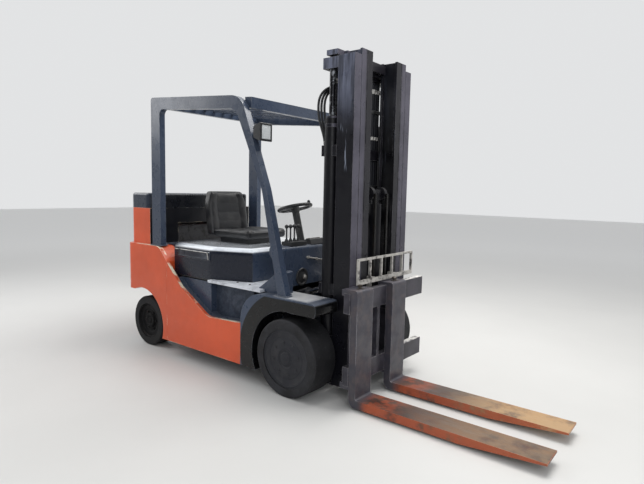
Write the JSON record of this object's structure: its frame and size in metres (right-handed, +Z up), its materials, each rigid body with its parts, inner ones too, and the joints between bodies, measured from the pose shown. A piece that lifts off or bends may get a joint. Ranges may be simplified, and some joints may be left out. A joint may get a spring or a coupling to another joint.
{
  "type": "counterbalance forklift truck",
  "caption": "Seated counterbalance lift truck on solid cushion tyres, with a tilting telescopic mast, forks, overhead guard and a hinged hood that carries the seat.",
  "frame": {"origin": "on the ground under the middle of the truck's length and width", "axes": "+X forward towards the fork tips, +Y to the driver's left, +Z up"},
  "size_m": [3.74, 1.299, 2.42],
  "materials": {
    "orange_paint": "worn gloss paint",
    "slate_paint": "worn gloss paint",
    "dark_paint": "dusty paint",
    "mast_paint": "worn satin paint",
    "tread_plate": "worn steel",
    "fork_steel": "worn and rusted steel",
    "chain_steel": "oiled steel",
    "bright_rod": "hard chrome",
    "tyre_rubber": "dusty rubber",
    "wheel_paint": "dusty paint",
    "black_plastic": "grained plastic",
    "seat_vinyl": "worn vinyl",
    "radiator_core": "dusty fins"
  },
  "bodies": {
    "truck": {"frame": "dark_paint", "counterweight": "orange_paint", "counterweight_cap": "slate_paint", "tow_pin": "chain_steel", "rear_grille": "dark_paint", "radiator": "radiator_core", "engine": "dark_paint", "side_panel_left": "orange_paint", "side_panel_right": "orange_paint", "tank_left": "slate_paint", "tank_right": "slate_paint", "fender_left": "slate_paint", "fender_right": "slate_paint", "floor_plate": "tread_plate", "front_cowl": "slate_paint", "instrument_panel": "black_plastic", "steering_column": "black_plastic", "control_levers": "black_plastic", "pedals": "dark_paint", "overhead_guard": "slate_paint", "guard_headers": "slate_paint", "guard_bars": "slate_paint", "work_lamps": "black_plastic", "rear_deck": "slate_paint", "drive_axle": "dark_paint", "steer_axle": "dark_paint"},
    "hood": {"hood": "slate_paint", "seat_base": "black_plastic", "seat_cushion": "seat_vinyl", "seat_back": "seat_vinyl"},
    "steering_wheel": {"steering_wheel": "black_plastic"},
    "drive_wheel_left": {"drive_left_tyre": "tyre_rubber", "drive_left_wheel": "wheel_paint"},
    "drive_wheel_right": {"drive_right_tyre": "tyre_rubber", "drive_right_wheel": "wheel_paint"},
    "knuckle_left": {"knuckle_left": "dark_paint"},
    "knuckle_right": {"knuckle_right": "dark_paint"},
    "steer_wheel_left": {"steer_left_tyre": "tyre_rubber", "steer_left_wheel": "wheel_paint"},
    "steer_wheel_right": {"steer_right_tyre": "tyre_rubber", "steer_right_wheel": "wheel_paint"},
    "mast_outer": {"mast_outer": "mast_paint", "outer_crossbars": "mast_paint", "mast_pipes": "dark_paint", "lift_cylinders": "mast_paint"},
    "mast_middle": {"mast_middle": "mast_paint", "middle_crossbars": "mast_paint", "lift_rods": "bright_rod"},
    "mast_inner": {"mast_inner": "mast_paint", "inner_crossbars": "mast_paint", "free_lift_cylinder": "mast_paint"},
    "free_lift_head": {"free_lift_head": "mast_paint", "carriage_chains": "chain_steel"},
    "carriage": {"carriage": "mast_paint", "load_backrest": "mast_paint"},
    "fork_left": {"fork_left": "fork_steel"},
    "fork_right": {"fork_right": "fork_steel"},
    "tilt_barrels": {"tilt_barrels": "dark_paint"},
    "tilt_rods": {"tilt_rods": "bright_rod"}
  },
  "joints": [
    {"name": "drive_left_roll", "type": "hinge", "parent": "truck", "child": "drive_wheel_left", "pos_m": [0.15, 0.535, 0.2795], "axis": [0, 1, 0], "continuous": true},
    {"name": "drive_right_roll", "type": "hinge", "parent": "truck", "child": "drive_wheel_right", "pos_m": [0.15, -0.535, 0.2795], "axis": [0, 1, 0], "continuous": true},
    {"name": "steer_left", "type": "hinge", "parent": "truck", "child": "knuckle_left", "pos_m": [-1.625, 0.4, 0.2285], "axis": [0, 0, 1], "range_deg": [-70, 70]},
    {"name": "steer_right", "type": "hinge", "parent": "truck", "child": "knuckle_right", "pos_m": [-1.625, -0.4, 0.2285], "axis": [0, 0, 1], "range_deg": [-70, 70]},
    {"name": "steer_left_roll", "type": "hinge", "parent": "knuckle_left", "child": "steer_wheel_left", "pos_m": [-1.625, 0.495, 0.2285], "axis": [0, 1, 0], "continuous": true},
    {"name": "steer_right_roll", "type": "hinge", "parent": "knuckle_right", "child": "steer_wheel_right", "pos_m": [-1.625, -0.495, 0.2285], "axis": [0, 1, 0], "continuous": true},
    {"name": "steering_turn", "type": "hinge", "parent": "truck", "child": "steering_wheel", "pos_m": [-0.35, 0, 1.31], "axis": [-0.2633, 0, 0.9647], "continuous": true},
    {"name": "hood_open", "type": "hinge", "parent": "truck", "child": "hood", "pos_m": [-1.256, 0, 0.83], "axis": [0, -1, 0], "range_deg": [0, 20]},
    {"name": "mast_tilt", "type": "hinge", "parent": "truck", "child": "mast_outer", "pos_m": [0.15, 0, 0.2795], "axis": [0, 1, 0], "range_deg": [-8, 5]},
    {"name": "tilt_barrel_swing", "type": "hinge", "parent": "truck", "child": "tilt_barrels", "pos_m": [-0.27, 0, 0.56], "axis": [0, 1, 0], "range_deg": [-4, 2.6]},
    {"name": "tilt_rod_stroke", "type": "slide", "parent": "tilt_barrels", "child": "tilt_rods", "axis": [0.9291, 0, 0.3698], "range_m": [-0.06, 0.038]},
    {"name": "middle_lift", "type": "slide", "parent": "mast_outer", "child": "mast_middle", "axis": [0, 0, 1], "range_m": [0, 1.6]},
    {"name": "inner_lift", "type": "slide", "parent": "mast_middle", "child": "mast_inner", "axis": [0, 0, 1], "range_m": [0, 1.6]},
    {"name": "carriage_lift", "type": "slide", "parent": "mast_inner", "child": "carriage", "axis": [0, 0, 1], "range_m": [0, 1.35], "deforming": ["carriage_chains"]},
    {"name": "head_lift", "type": "slide", "parent": "mast_inner", "child": "free_lift_head", "axis": [0, 0, 1], "range_m": [0, 0.675]},
    {"name": "fork_left_shift", "type": "slide", "parent": "carriage", "child": "fork_left", "axis": [0, 1, 0], "range_m": [-0.105, 0.365]},
    {"name": "fork_right_shift", "type": "slide", "parent": "carriage", "child": "fork_right", "axis": [0, 1, 0], "range_m": [-0.005, 0.125]}
  ],
  "couplings": [
    {"joint": "steer_right", "follows": "steer_left", "ratio": 1},
    {"joint": "tilt_barrel_swing", "follows": "mast_tilt", "ratio": 0.483},
    {"joint": "tilt_rod_stroke", "follows": "mast_tilt", "m_per_rad": 0.419},
    {"joint": "inner_lift", "follows": "middle_lift", "ratio": 1},
    {"joint": "head_lift", "follows": "carriage_lift", "ratio": 0.5}
  ]
}
